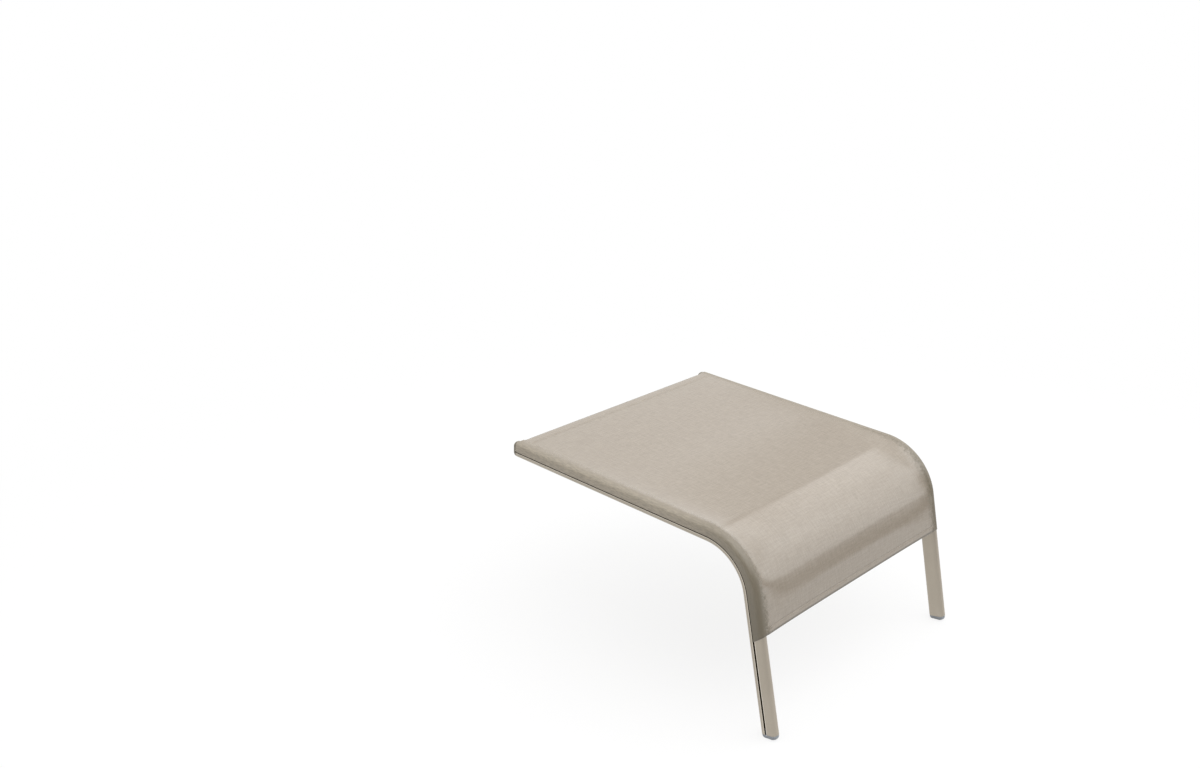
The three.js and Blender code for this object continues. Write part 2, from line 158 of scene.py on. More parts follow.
WHITE = (1, 1, 1, 1)
FLOOR_RADIUS = 30
FLOOR_SIDES = 96
FLOOR_GLOW_SHARE = 0.8
SHADOW_REACH = 0.5
WHITE_REACH = 1.8
PAPER_RADIUS = 2.0
PAPER_EDGE = 0.15
PAPER_AS_SEEN = (0.92, 0.92, 0.92, 1)
PAPER_AS_LIT = (0.36, 0.36, 0.36, 1)
BEYOND_PAPER = (0.05, 0.05, 0.05, 1)
SHEEN_FROM = 3.0
SHEEN_FULL = 10.0
SHEEN_SHARE = 0.8
floor_edge = []
for i in range(FLOOR_SIDES):
    turn = 2 * math.pi * i / FLOOR_SIDES
    floor_edge.append((FLOOR_RADIUS * math.cos(turn), FLOOR_RADIUS * math.sin(turn), 0))
floor_mesh = bpy.data.meshes.new("floor")
floor_mesh.from_pydata(floor_edge, [], [list(range(FLOOR_SIDES))])
floor = bpy.data.objects.new("floor", floor_mesh)
bpy.context.scene.collection.objects.link(floor)
floor_paper = bpy.data.materials.new("floor_paper")
floor_mesh.materials.append(floor_paper)
paper = emptied(floor_paper)
by_camera = paper.node("LightPath", output="Is Camera Ray")
by_gloss = paper.node("LightPath", output="Is Glossy Ray")
by_glass = paper.node("LightPath", output="Is Transmission Ray")
reach = paper.node("VectorMath", {"operation": "LENGTH"}, {0: paper.node("TexCoord", output="Object")}, 1)
on_paper = 1.0 - reach.between(PAPER_RADIUS, PAPER_RADIUS + PAPER_EDGE)
paper_colour = by_camera.blend(PAPER_AS_LIT, PAPER_AS_SEEN)
matt = paper.node("BsdfDiffuse", None, {"Color": on_paper.blend(BEYOND_PAPER, paper_colour)})
sheen = on_paper + reach.between(SHEEN_FROM, SHEEN_FULL) * SHEEN_SHARE
reflected = by_gloss.maths("MAXIMUM", by_glass) * sheen
lit_share = reach.between(SHADOW_REACH, WHITE_REACH) * (1 - FLOOR_GLOW_SHARE) + FLOOR_GLOW_SHARE
seen = by_camera * lit_share + reflected
glow = paper.node("Emission", None, {"Color": WHITE, "Strength": 1.0})
paper.node("OutputMaterial", None, {0: paper.node("MixShader", None, {0: seen, 1: matt, 2: glow})})

# the surround's brightness by direction: behind, in front and overhead, with a dark gap at the right
# of the white behind
SURROUND_BACK = 1.03
SURROUND_FRONT = 0.32
SURROUND_TOP = 1.15
BACK_WAY = (0.25, 0.97, 0.0)
BACK_FADE = (-0.6, 0.5)
TOP_FADE = (0.2, 0.8)
GAP_DEPTH = 0.65
GAP_INNER_FADE = (0.58, 0.68)
GAP_RIGHT_FADE = (0.5, 0.7)
world = bpy.data.worlds.new("surround")
bpy.context.scene.world = world
sky = emptied(world)
facing = sky.node("TexCoord", output="Generated")
back_share = sky.node("VectorMath", {"operation": "DOT_PRODUCT"}, {0: facing, 1: BACK_WAY}, 1)
level = back_share.between(*BACK_FADE) * (SURROUND_BACK - SURROUND_FRONT) + SURROUND_FRONT
gap = (1.0 - back_share.between(*GAP_INNER_FADE)) * facing.axis(0).between(*GAP_RIGHT_FADE)
level = level * (1.0 - gap * GAP_DEPTH)
level = level.maths("MAXIMUM", facing.axis(2).between(*TOP_FADE) * SURROUND_TOP)
strength = sky.node("LightPath", output="Is Camera Ray").maths("MAXIMUM", level)
surround = sky.node("Background", None, {"Color": WHITE, "Strength": strength})
sky.node("OutputWorld", None, {0: surround})


def soft_lamp(name, at, towards, width, length, watts):
    """A square-edged soft lamp that the camera itself doesn't see."""
    lamp = bpy.data.lights.new(name, "AREA")
    lamp.shape = "RECTANGLE"
    lamp.size = width
    lamp.size_y = length
    lamp.energy = watts
    made = bpy.data.objects.new(name, lamp)
    made.location = at
    made.rotation_euler = (Vector(towards) - Vector(at)).to_track_quat("-Z", "Y").to_euler()
    made.visible_camera = False
    bpy.context.scene.collection.objects.link(made)


soft_lamp("right_lamp", at=(4.93, -1.54, 2.8), towards=(0.1, -0.25, 2.8),
          width=8.85, length=5.0, watts=121)
soft_lamp("right_low_lamp", at=(4.04, -3.33, 2.2), towards=(0.1, -0.25, 2.2),
          width=2.2, length=3.8, watts=11)
soft_lamp("front_lamp", at=(-0.1, -1.9, 3.1), towards=(0, 0, 0.3),
          width=4.0, length=4.0, watts=45)
STRIP_WIDTHS_AND_WATTS = ((4.6, 3), (3.3, 7), (2.0, 20))
for i, (width, watts) in enumerate(STRIP_WIDTHS_AND_WATTS):
    soft_lamp(f"right_strip_{i}", at=(5.65, 1.14, 2.8), towards=(0.82, 2.43, 2.8),
              width=width, length=5.0, watts=watts)


# Side rails, left and right: one aluminium tube each, 17 by 30 mm with round corners, bent once into
# leg and seat side, with a groove for the cloth's edge along the outer face. Powder coated in taupe.
SIDES = (("left", -1), ("right", 1))
LEG = 0.252
BEND = 0.097
SEAT = 0.4525
LEG_HEADING = math.radians(90 - 11.7)
SEAT_HEADING = math.radians(2)
BEND_LENGTH = BEND * (LEG_HEADING - SEAT_HEADING)
RAIL_LENGTH = LEG + BEND_LENGTH + SEAT
RAIL_END_Y = 0.285121748
RAIL_X = 0.2652
RAIL_HALF = (0.0085, 0.015)
RAIL_CORNER = 0.0075
RAIL_WALL = 0.0018
LEG_END_GAP = 0.0075
SLOT_T = -0.0035
SLOT_HALF = 0.0015
SLOT_DEEP = RAIL_WALL
LIP = 0.0004
CHANNEL_RADIUS = 0.0039
CHANNEL_S = RAIL_HALF[0] - SLOT_DEEP - math.sqrt(CHANNEL_RADIUS ** 2 - SLOT_HALF ** 2)
CHANNEL_BACK = CHANNEL_RADIUS + 0.0014
CORNER_STEPS = 8
LIP_STEPS = 4
CHANNEL_STEPS = 24
BEND_STEPS = 44
STRAIGHT_STEPS = 6


def place(distance):
    """Where the rails' centre line is at this distance up from the floor, and its heading there."""
    turned = min(max((distance - LEG) / BEND, 0), LEG_HEADING - SEAT_HEADING)
    heading = LEG_HEADING - turned
    up_leg = min(distance, LEG)
    on_seat = max(distance - LEG - BEND_LENGTH, 0)
    y = (up_leg * math.cos(LEG_HEADING) + BEND * (math.sin(LEG_HEADING) - math.sin(heading))
         + on_seat * math.cos(heading))
    z = (up_leg * math.sin(LEG_HEADING) + BEND * (math.cos(heading) - math.cos(LEG_HEADING))
         + on_seat * math.sin(heading))
    return y, z, heading


LINE_SHIFT = RAIL_END_Y - place(RAIL_LENGTH)[0]


def beside(distance, x, t):
    """A point off the centre line: x across the footrest, t out from the bend's centre."""
    y, z, heading = place(distance)
    return Vector((x, LINE_SHIFT + y - t * math.sin(heading), z + t * math.cos(heading)))


def arc(s, t, radius, start, end, steps):
    """Points round a centre, angles in degrees."""
    return [(s + radius * math.cos(math.radians(start + (end - start) * i / steps)),
             t + radius * math.sin(math.radians(start + (end - start) * i / steps)))
            for i in range(steps + 1)]


def stretch_of_line(start, end):
    """Distances along the line, close together round the bend."""
    seat_start = LEG + BEND_LENGTH
    along = [start + (LEG - start) * i / STRAIGHT_STEPS for i in range(STRAIGHT_STEPS)]
    along += [LEG + BEND_LENGTH * i / BEND_STEPS for i in range(BEND_STEPS)]
    along += [seat_start + (end - seat_start) * i / STRAIGHT_STEPS for i in range(STRAIGHT_STEPS + 1)]
    return along


def piece(name, mesh, finish, slot, *replaced, sharp=40):
    """Links a finished mesh as a piece of the footrest."""
    made = bpy.data.objects.new(name, mesh)
    bpy.context.scene.collection.objects.link(made)
    mesh.materials.append(finish)
    mesh.shade_smooth()
    if sharp:
        mesh.set_sharp_from_angle(angle=math.radians(sharp))
    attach(made, "root")
    if replaced:
        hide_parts(*replaced)
    return made


def finished(name, work):
    """The mesh that was worked on, with all its faces turned outwards."""
    bmesh.ops.recalc_face_normals(work, faces=work.faces)
    mesh = bpy.data.meshes.new(name)
    work.to_mesh(mesh)
    work.free()
    return mesh


def skinned(name, bodies, ring=False):
    """One closed mesh for each list of rows of points, every row a closed loop. A second list of rows
    is a hollow inside the first. In a ring, the last row joins the first."""
    work = bmesh.new()
    for shells in bodies:
        shell_loops = []
        for rows in shells:
            loops = [[work.verts.new(point) for point in row] for row in rows]
            for low, high in zip(loops, loops[1:] + (loops[:1] if ring else [])):
                for i in range(len(low)):
                    j = (i + 1) % len(low)
                    work.faces.new((low[i], low[j], high[j], high[i]))
            shell_loops.append(loops)
        for end in (() if ring else (0, -1)):
            ends = [loops[end] for loops in shell_loops]
            if len(ends) == 1:
                work.faces.new(ends[0])
            else:
                rim = [work.edges.get((loop[i], loop[i - 1])) for loop in ends for i in range(len(loop))]
                bmesh.ops.triangle_fill(work, edges=rim, use_beauty=True)
    return finished(name, work)


def rounded_bar(half_s, half_t, corner):
    """The outline of a bar with round corners, from its outer side."""
    s, t = half_s - corner, half_t - corner
    return (arc(s, t, corner, 0, 90, CORNER_STEPS) + arc(-s, t, corner, 90, 180, CORNER_STEPS)
            + arc(-s, -t, corner, 180, 270, CORNER_STEPS) + arc(s, -t, corner, 270, 360, CORNER_STEPS))


slot_angle = math.degrees(math.asin(SLOT_HALF / CHANNEL_RADIUS))
lower_lip, upper_lip = SLOT_T - SLOT_HALF, SLOT_T + SLOT_HALF
bar_outline = rounded_bar(*RAIL_HALF, RAIL_CORNER)
rail_outline = (
    bar_outline
    + arc(RAIL_HALF[0] - LIP, lower_lip - LIP, LIP, 0, 90, LIP_STEPS)
    + arc(CHANNEL_S, SLOT_T, CHANNEL_RADIUS, -slot_angle, slot_angle - 360, CHANNEL_STEPS)
    + arc(RAIL_HALF[0] - LIP, upper_lip + LIP, LIP, -90, 0, LIP_STEPS))
GROOVE_FACES = range(len(bar_outline), len(rail_outline) - 1)
chamber_half = (RAIL_HALF[0] - RAIL_WALL, RAIL_HALF[1] - RAIL_WALL)
back_angle = math.degrees(math.acos((chamber_half[0] - CHANNEL_S) / CHANNEL_BACK))
chamber_outline = (
    rounded_bar(*chamber_half, RAIL_CORNER - RAIL_WALL)
    + arc(CHANNEL_S, SLOT_T, CHANNEL_BACK, -back_angle, back_angle - 360, CHANNEL_STEPS))

# satin powder coat: cloudy, fine specks, a little orange peel, edge wear, and painted highlight on groove
# lips
coat, coat_shader, start = material("powder_coat")
here = start.node("TexCoord", output="Object")
cloudy = here.noise(9.0, 3.0)
speck = here.noise(1400.0, 2.0)
peel = here.noise(900.0, 3.0, 0.6)
rub = here.noise(60.0, 4.0, 0.6).between(0.6, 0.78)
edge = start.node("NewGeometry", output="Pointiness").between(0.53, 0.62)
coat_colour = cloudy.between(0.3, 0.7).blend(colour(173, 164, 150), colour(180, 171, 157))
coat_colour = (speck.between(0.52, 0.7) * 0.35).blend(coat_colour, colour(150, 140, 126))
coat_colour = (edge * rub * 0.6).blend(coat_colour, colour(196, 191, 182))
from_slot = start.node("UVMap", {"uv_map": "from_slot"}).axis(0)
has_slot_map = from_slot.between(0.0001, 0.0002)
# a painted highlight: the coat is painted light along both lips of the groove
painted_lip_highlight = (1.0 - from_slot.between(0.0022, 0.0034)) * has_slot_map
coat_colour = painted_lip_highlight.blend(coat_colour, colour(232, 224, 209))
peel_bump = start.node("Bump", None, {"Strength": 0.18, "Distance": 0.0003, "Height": peel})
paint(coat_shader, start, {"Base Color": coat_colour, "Metallic": 0.75, "Specular IOR Level": 0.5,
                           "Roughness": cloudy * 0.08 + rub * 0.08 + 0.3, "Normal": peel_bump})

# inside the groove: painted shade, dark, mottled and dull
groove_shade, groove_shader, start = material("groove_shade")
groove_mottle = start.node("TexCoord", output="Object").noise(220.0, 3.0)
# painted shade: the channel's faces are coloured near black
groove_colour = groove_mottle.between(0.3, 0.7).blend(colour(54, 42, 28), colour(70, 57, 41))
groove_bump = start.node("Bump", None, {"Strength": 0.2, "Distance": 0.0002, "Height": groove_mottle})
paint(groove_shader, start, {"Base Color": groove_colour, "Specular IOR Level": 0.15,
                             "Roughness": groove_mottle * 0.2 + 0.6, "Normal": groove_bump})

AWAY_FROM_SLOT = 0.05
rail_line = stretch_of_line(LEG_END_GAP, RAIL_LENGTH)
around = len(rail_outline)
for side, way in SIDES:
    rail_shells = [[[beside(d, way * (RAIL_X + s), t) for s, t in outline] for d in rail_line]
                   for outline in (rail_outline, chamber_outline)]
    rail = piece(f"{side}_rail", skinned(f"{side}_rail", [rail_shells]), coat, "coated_aluminium",
                 f"{side}_side_rail", sharp=30)
    rail.data.materials.append(groove_shade)
    slot_map = rail.data.uv_layers.new(name="from_slot")
    for loop in rail.data.loops:
        s, t = rail_outline[loop.vertex_index % around]
        on_outer_face = loop.vertex_index < around * len(rail_line) and s > 0
        slot_map.data[loop.index].uv = (abs(t - SLOT_T) if on_outer_face else AWAY_FROM_SLOT, 0)
    for face in rail.data.polygons[:around * (len(rail_line) - 1)]:
        if face.index % around in GROOVE_FACES:
            face.material_index = 1

# Cross tubes: round aluminium tube, 19 mm, coated like the rails. The front one joins the legs and the
# hook one carries the hooks, both welded to the rails. The rear one is bolted in, to stretch the cloth.
TUBE_RADIUS = 0.0095
TUBE_WALL = 0.0016
TUBE_HALF = 0.2564
TUBE_SIDES = 64
TUBE_END_CHAMFER = 0.0004
FRONT_TUBE_UP_LEG = 0.214
FRONT_TUBE_BEHIND = 0.004
REAR_TUBE_FROM_END = 0.0086
REAR_TUBE_T = 0.0052
HOOK_TUBE_FROM_END = 0.0693
HOOK_TUBE_T = 0.001
WELD_WIDTH = 0.0034
WELD_RIPPLES = 46
WELD_ROWS = WELD_RIPPLES * 6
WELD_FILLET = 0.9
WELD_SWELL = 0.0005
WELD_SUNK = 0.0004
WELD_ROOT = 0.0006
WELD_PAST_END = 0.0002


def ring_across(distance, t, x, radius):
    """A ring of points round a line that runs across the footrest."""
    middle = beside(distance, x, t)
    return [middle + Vector((0, radius * math.cos(2 * math.pi * i / TUBE_SIDES),
                             radius * math.sin(2 * math.pi * i / TUBE_SIDES))) for i in range(TUBE_SIDES)]


def cross_tube(distance, t):
    """The tube's outer wall, its ends eased, and its bore."""
    edge, bore = TUBE_END_CHAMFER, TUBE_RADIUS - TUBE_WALL
    outside = [(-TUBE_HALF, TUBE_RADIUS - edge), (-TUBE_HALF + edge, TUBE_RADIUS),
               (TUBE_HALF - edge, TUBE_RADIUS), (TUBE_HALF, TUBE_RADIUS - edge)]
    inside = [(-TUBE_HALF, bore), (TUBE_HALF, bore)]
    return [[ring_across(distance, t, x, radius) for x, radius in walls] for walls in (outside, inside)]


def weld(distance, t, way):
    """A fillet bead with the ripples of the torch, from the tube's end out onto the rail's face."""
    rows = []
    middle = beside(distance, 0, t)
    for i in range(WELD_ROWS):
        angle = 2 * math.pi * i / WELD_ROWS
        ripple = 0.8 + 0.2 * math.cos(angle * WELD_RIPPLES) + 0.06 * math.sin(angle * 3)
        reach = WELD_WIDTH * ripple
        bead = []
        for share in (0, 0.2, 0.4, 0.6, 0.8, 1):
            turn = share * math.pi / 2
            out = TUBE_RADIUS - WELD_SUNK + reach * (1 - math.sin(turn)) * WELD_FILLET
            x = TUBE_HALF + WELD_PAST_END - reach * (1 - math.cos(turn)) * WELD_FILLET
            swell = WELD_SWELL * math.sin(2 * turn)
            bead.append((x - swell, out + swell))
        bead.append((TUBE_HALF + WELD_PAST_END, TUBE_RADIUS - WELD_ROOT))
        rows.append([middle + Vector((way * x, out * math.cos(angle), out * math.sin(angle)))
                     for x, out in bead])
    return [rows]


tubes = {"front": (FRONT_TUBE_UP_LEG, -FRONT_TUBE_BEHIND),
         "hook": (RAIL_LENGTH - HOOK_TUBE_FROM_END, HOOK_TUBE_T),
         "rear": (RAIL_LENGTH - REAR_TUBE_FROM_END, REAR_TUBE_T)}
for name, at in tubes.items():
    piece(f"{name}_tube", skinned(f"{name}_tube", [cross_tube(*at)]), coat, "coated_aluminium",
          f"{name}_cross_tube")
for name in ("front", "hook"):
    beads = [weld(*tubes[name], way) for _, way in SIDES]
    piece(f"{name}_tube_welds", skinned(f"{name}_tube_welds", beads, ring=True), coat, "coated_aluminium")

# Rear tube plugs and bolts: zinc-plated steel, hidden in the tube's ends and the rails' chambers.
# Their solids keep their own shape.
zinc, zinc_shader, start = material("zinc_plate")
here = start.node("TexCoord", output="Object")
bloom = here.noise(140.0, 4.0, 0.6)
brushed = here.stretched(1.0, 1.0, 14.0).noise(420.0, 2.0)
zinc_colour = bloom.between(0.35, 0.65).blend(colour(176, 178, 180), colour(203, 203, 198))
zinc_bump = start.node("Bump", None, {"Strength": 0.12, "Distance": 0.0002, "Height": brushed})
paint(zinc_shader, start, {"Base Color": zinc_colour, "Metallic": 1.0, "Roughness": bloom * 0.25 + 0.22,
                           "Normal": zinc_bump})
for side, _ in SIDES:
    for hidden in ("rear_tube_plug", "rear_tube_bolt"):
        steel = node[f"{side}_{hidden}"]
        steel.data.materials.clear()
        steel.data.materials.append(zinc)

# Keder rods: a round plastic rod in the hem along each side of the cloth, held in the rail's channel.
# Drawn in off-white, and as long as the cloth.
ROD_RADIUS = 0.0023
ROD_SIDES = 24
HEM_UP_LEG = 0.181
HEM_SLANT = 0.009
SEAM = 0.0003
rod_plastic, rod_shader, start = material("rod_plastic")
here = start.node("TexCoord", output="Object")
drawn = here.stretched(1.0, 0.1, 0.1).noise(900.0, 2.0)
rod_colour = drawn.between(0.3, 0.7).blend(colour(205, 201, 191), colour(221, 218, 210))
rod_bump = start.node("Bump", None, {"Strength": 0.1, "Distance": 0.0002, "Height": drawn})
paint(rod_shader, start, {"Base Color": rod_colour, "Roughness": drawn * 0.1 + 0.42, "Normal": rod_bump})
rod_outline = arc(CHANNEL_S, SLOT_T, ROD_RADIUS, 0, 360 - 360 / ROD_SIDES, ROD_SIDES - 1)
for side, way in SIDES:
    rows = [[beside(d, way * (RAIL_X + s), t) for s, t in rod_outline]
            for d in stretch_of_line(HEM_UP_LEG - HEM_SLANT, RAIL_LENGTH - SEAM)]
    piece(f"{side}_rod", skinned(f"{side}_rod", [[rows]]), rod_plastic, "rod_plastic", f"{side}_keder_rod")

# Sling: one stretched piece of coated mesh cloth, 1 mm thick, woven in taupe. It wraps each rail's
# outer face into the groove round the rod, is hemmed at the leg end, and turns down over the rear tube.
CLOTH = 0.001
CLOTH_MIDDLE_T = RAIL_HALF[1] + SEAM + CLOTH / 2
CLOTH_HALF = RAIL_X - (RAIL_HALF[0] - RAIL_CORNER)
CLOTH_CORNER = RAIL_CORNER + SEAM + CLOTH / 2
CLOTH_TURN_IN = 0.0009
HEM_HEIGHT = 0.011
HEM_TURNED_UNDER = 0.0135
HEM_FOLD_RADIUS = 0.00055
HEM_FOLD_LENGTH = 0.0017
HEM_FOLD_ALONG = -0.0003
HEM_SLANT_FADE = 0.05
HEM_PUFF = 0.00035
HEM_SEAM_SUNK = 0.00045
HEM_SEAM_WIDTH = 0.0009
TURN_HALF = 0.2561
SIDE_STRIP_FROM = 0.2565
TURN_RADIUS = CLOTH_MIDDLE_T - REAR_TUBE_T
TURN_CENTRE = RAIL_LENGTH - REAR_TUBE_FROM_END
TURN_LEAD = 0.004
STRIP_END = RAIL_LENGTH - 0.0028
CORNER_BLEND = 0.009
CORNER_BLEND_ON_TOP = 0.05
BEND_MIDDLE = LEG + BEND_LENGTH / 2
DRAW_AT_HEM = 0.003
DRAW_AT_BEND = 0.014
DRAW_ON_SEAT = 0.005
PANEL_TOP = 0.2235
PANEL_KINK = 0.085
PANEL_TURN = 0.004
PANEL_SIDE_DIP = 0.03
PANEL_BOW_POWER = 4
BOW_POWER = 9

# the hang of the cloth's middle below the rails' outer line: where, how far, and how fast it grows
draw_knots = [(HEM_UP_LEG, DRAW_AT_HEM, 0.0),
              (PANEL_TOP - PANEL_TURN / 2, DRAW_AT_HEM, 0.0),
              (PANEL_TOP + PANEL_TURN / 2, DRAW_AT_HEM + PANEL_KINK * PANEL_TURN / 2, PANEL_KINK),
              (BEND_MIDDLE, DRAW_AT_BEND, 0.0),
              (LEG + BEND_LENGTH + SEAT * 0.45, DRAW_ON_SEAT, 0.0),
              (TURN_CENTRE - TURN_LEAD, 0.0, 0.0)]


def smooth(share):
    """0 to 1, without a kink at either end."""
    share = min(max(share, 0.0), 1.0)
    return share * share * (3 - 2 * share)


def drawn_in(distance):
    """How far the cloth's middle hangs in from the rails' outer line: most at the bend. The panel above
    the hem is flat, and the cloth starts to hollow at its top."""
    if distance <= draw_knots[0][0]:
        return draw_knots[0][1]
    for (start_at, low, low_slope), (end_at, high, high_slope) in zip(draw_knots, draw_knots[1:]):
        if distance <= end_at:
            run = end_at - start_at
            share = (distance - start_at) / run
            leaning = run * share * (1 - share) * (low_slope * (1 - share) - high_slope * share)
            return low + (high - low) * smooth(share) + leaning
    return 0.0


def bow(distance, x):
    """How much of the middle's hang the cloth has at x: it curves more widely at the panel's top."""
    share = abs(x) / CLOTH_HALF
    above = smooth((distance - PANEL_TOP) / (BEND_MIDDLE - PANEL_TOP))
    return 1 - share ** (PANEL_BOW_POWER + (BOW_POWER - PANEL_BOW_POWER) * above) if share < 1 else 0.0


def cloth_section():
    """Half of the cloth's middle line across the rail, from the middle out and round the rod:
    across, out from the rail's centre, and the cloth's length so far."""
    outer = RAIL_HALF[0] + SEAM + CLOTH / 2
    tail_t = SLOT_T + SLOT_HALF - SEAM - CLOTH / 2
    turn_t = tail_t + CLOTH_TURN_IN
    ring = CHANNEL_RADIUS - SEAM - CLOTH / 2
    ring_start = math.degrees(math.asin((tail_t - SLOT_T) / ring))
    corner_s, corner_t = RAIL_HALF[0] - RAIL_CORNER, RAIL_HALF[1] - RAIL_CORNER
    flat = [TURN_HALF * (1 - (1 - i / 30) ** 1.6) for i in range(31)]
    flat += [SIDE_STRIP_FROM + (CLOTH_HALF - SIDE_STRIP_FROM) * i / 8 for i in range(9)]
    line = [(x, CLOTH_MIDDLE_T) for x in flat]
    beside_rail = (
        arc(corner_s, corner_t, CLOTH_CORNER, 90, 0, 10)
        + [(outer, corner_t + (turn_t - corner_t) * i / 5) for i in range(1, 5)]
        + arc(outer - CLOTH_TURN_IN, turn_t, CLOTH_TURN_IN, 0, -90, 5)
        + arc(CHANNEL_S, SLOT_T, ring, ring_start, 360 - ring_start, 18))
    line += [(RAIL_X + s, t) for s, t in beside_rail]
    length, measured = 0.0, []
    for i, (x, t) in enumerate(line):
        if i:
            length += math.hypot(x - line[i - 1][0], t - line[i - 1][1])
        measured.append((x, t, length))
    return measured


half_section = cloth_section()
section = [(-x, t, -u) for x, t, u in reversed(half_section[1:])] + half_section
HALF_WIDTH_FLAT = half_section[-1][2]


def over_corner(x, drawn):
    """The cloth can't hang lower than the rail's rounded inner edge holds it."""
    inward = CLOTH_HALF - abs(x)
    if 0 < inward < CLOTH_CORNER:
        return min(drawn, CLOTH_CORNER - math.sqrt(CLOTH_CORNER ** 2 - inward ** 2))
    return drawn


def cloth_point(distance, x, t, slant, lift=0.0):
    """A point of the cloth. Slant draws the row down as it goes round the rail into the groove, and
    near the rails the hang is that of a place a little further along."""
    round_share = min(max((CLOTH_MIDDLE_T - t) / (CLOTH_MIDDLE_T - SLOT_T - SLOT_HALF), 0), 1)
    lead = PANEL_SIDE_DIP * (x / CLOTH_HALF) ** 4
    drawn = over_corner(x, drawn_in(distance + lead) * bow(distance, x)) if abs(x) < CLOTH_HALF else 0.0
    return beside(distance - slant * round_share, x, t - drawn + lift)


def hem_lift(distance):
    """The hem's two layers puff out a little, and its seam is drawn in above them."""
    up = (distance - HEM_UP_LEG) / HEM_HEIGHT
    puff = HEM_PUFF * math.sin(math.pi * min(max(up, 0), 1))
    from_seam = (distance - HEM_UP_LEG - HEM_HEIGHT) / HEM_SEAM_WIDTH
    return puff - HEM_SEAM_SUNK * math.exp(-from_seam ** 2)


def under_row(distance, lift, along):
    """A row of the hem's turned-under edge, which stops short of the rails."""
    return [(cloth_point(distance, x, t, 0.0, lift), u, along) if abs(x) <= TURN_HALF else None
            for x, t, u in section]


def over_row(distance):
    """A row of the cloth's face, from rod to rod."""
    slant = HEM_SLANT * (1 - smooth((distance - HEM_UP_LEG) / HEM_SLANT_FADE))
    row = []
    for x, t, u in section:
        lift = hem_lift(distance) if abs(x) < CLOTH_HALF else 0.0
        row.append((cloth_point(distance, x, t, slant, lift), u, distance - HEM_UP_LEG))
    return row


def rear_row(share):
    """A row of the turn over the rear tube. Beside it the cloth runs straight on along the rails."""
    turn = math.radians(90 * share)
    straight_on = (STRIP_END - TURN_CENTRE) * share
    blend = CORNER_BLEND + (CORNER_BLEND_ON_TOP - CORNER_BLEND) * (1 - share) ** 2
    row = []
    for x, t, u in section:
        level = beside(TURN_CENTRE + straight_on, x, t)
        turned = beside(TURN_CENTRE + TURN_RADIUS * math.sin(turn), x,
                        REAR_TUBE_T + TURN_RADIUS * math.cos(turn))
        down = smooth((TURN_HALF - abs(x)) / blend)
        past_seat = straight_on * (1 - down) + TURN_RADIUS * turn * down
        row.append((level.lerp(turned, down), u, TURN_CENTRE - HEM_UP_LEG + past_seat))
    return row


def woven(name, rows):
    """A cloth's mesh from rows of points, each with its place across and along the flat cloth, which
    the weave follows. There is no cloth where a row has None."""
    work = bmesh.new()
    weave_map = work.loops.layers.uv.new("weave")
    grid = []
    for row in rows:
        grid.append([None if spot is None else (work.verts.new(spot[0]), spot[1:]) for spot in row])
    for low, high in zip(grid, grid[1:]):
        for i in range(len(low) - 1):
            corners = (low[i], low[i + 1], high[i + 1], high[i])
            if None not in corners:
                face = work.faces.new([vertex for vertex, _ in corners])
                for loop, (_, on_flat) in zip(face.loops, corners):
                    loop[weave_map].uv = on_flat
    return finished(name, work)


def thicken(cloth):
    """Gives a sheet its real thickness, half to each side."""
    thickness = cloth.modifiers.new("thickness", "SOLIDIFY")
    thickness.thickness = CLOTH
    thickness.offset = 0


# rows from the hem's raw edge, turned under, round the fold, up the leg, over the bend and along the
# seat, and down behind the rear tube
sling_rows = []
for i in range(7):
    flap = HEM_TURNED_UNDER * (1 - i / 6)
    sling_rows.append(under_row(HEM_UP_LEG + flap, -2 * HEM_FOLD_RADIUS, -flap))
for i in range(1, 6):
    turn = math.pi * i / 6
    sling_rows.append(under_row(HEM_UP_LEG - HEM_FOLD_RADIUS * math.sin(turn),
                                -HEM_FOLD_RADIUS * (1 + math.cos(turn)), HEM_FOLD_ALONG))
hem_rows = [HEM_UP_LEG + HEM_HEIGHT * i / 12 for i in range(10)]
hem_rows += [HEM_UP_LEG + HEM_HEIGHT * (0.78 + 0.06 * i) for i in range(9)]
leg_start, seat_start = HEM_UP_LEG + HEM_HEIGHT * 1.4, LEG + BEND_LENGTH
leg_rows = [leg_start + (LEG - leg_start) * i / 36 for i in range(36)]
bend_rows = [LEG + BEND_LENGTH * i / BEND_STEPS for i in range(BEND_STEPS)]
seat_rows = [seat_start + (TURN_CENTRE - TURN_LEAD - seat_start) * i / 34 for i in range(35)]
face_rows = hem_rows + leg_rows + bend_rows + seat_rows + [TURN_CENTRE]
sling_rows += [over_row(distance) for distance in face_rows]
sling_rows += [rear_row(i / 10) for i in range(1, 11)]

# plain weave of satin coated threads, each thread with its own tone along its length, and painted shade in
# the gaps
THREAD = 0.0011
THREAD_SHIFT = 0.37
THREAD_CLOUDS = 36.0
LOW_DOWN_TO = 0.32
RAIL_TOP_FROM = 0.252
RAIL_EDGE_AT = 0.266
RAIL_WALL_FROM = 0.276
weave, weave_shader, start = material("sling_weave")
on_cloth = start.node("UVMap", {"uv_map": "weave"})
on_piece = start.node("TexCoord", output="Object")
across, along = on_cloth.axis(0), on_cloth.axis(1)
warp, weft = across / THREAD, along / THREAD
warp_thread, weft_thread = warp.maths("FLOOR"), weft.maths("FLOOR")
over_warp = (warp_thread + weft_thread).maths("MODULO", 2.0).maths("ABSOLUTE").between(0.4, 0.6)
warp_round = (warp.maths("FRACT") - 0.5).maths("ABSOLUTE")
weft_round = (weft.maths("FRACT") - 0.5).maths("ABSOLUTE")
warp_height = 1.0 - warp_round * warp_round * 3.2 - weft_round * weft_round * 1.2
weft_height = 1.0 - weft_round * weft_round * 3.2 - warp_round * warp_round * 1.2
thread_height = over_warp * warp_height + (1.0 - over_warp) * weft_height
warp_place = {0: warp_thread * THREAD_SHIFT, 1: along * THREAD_CLOUDS}
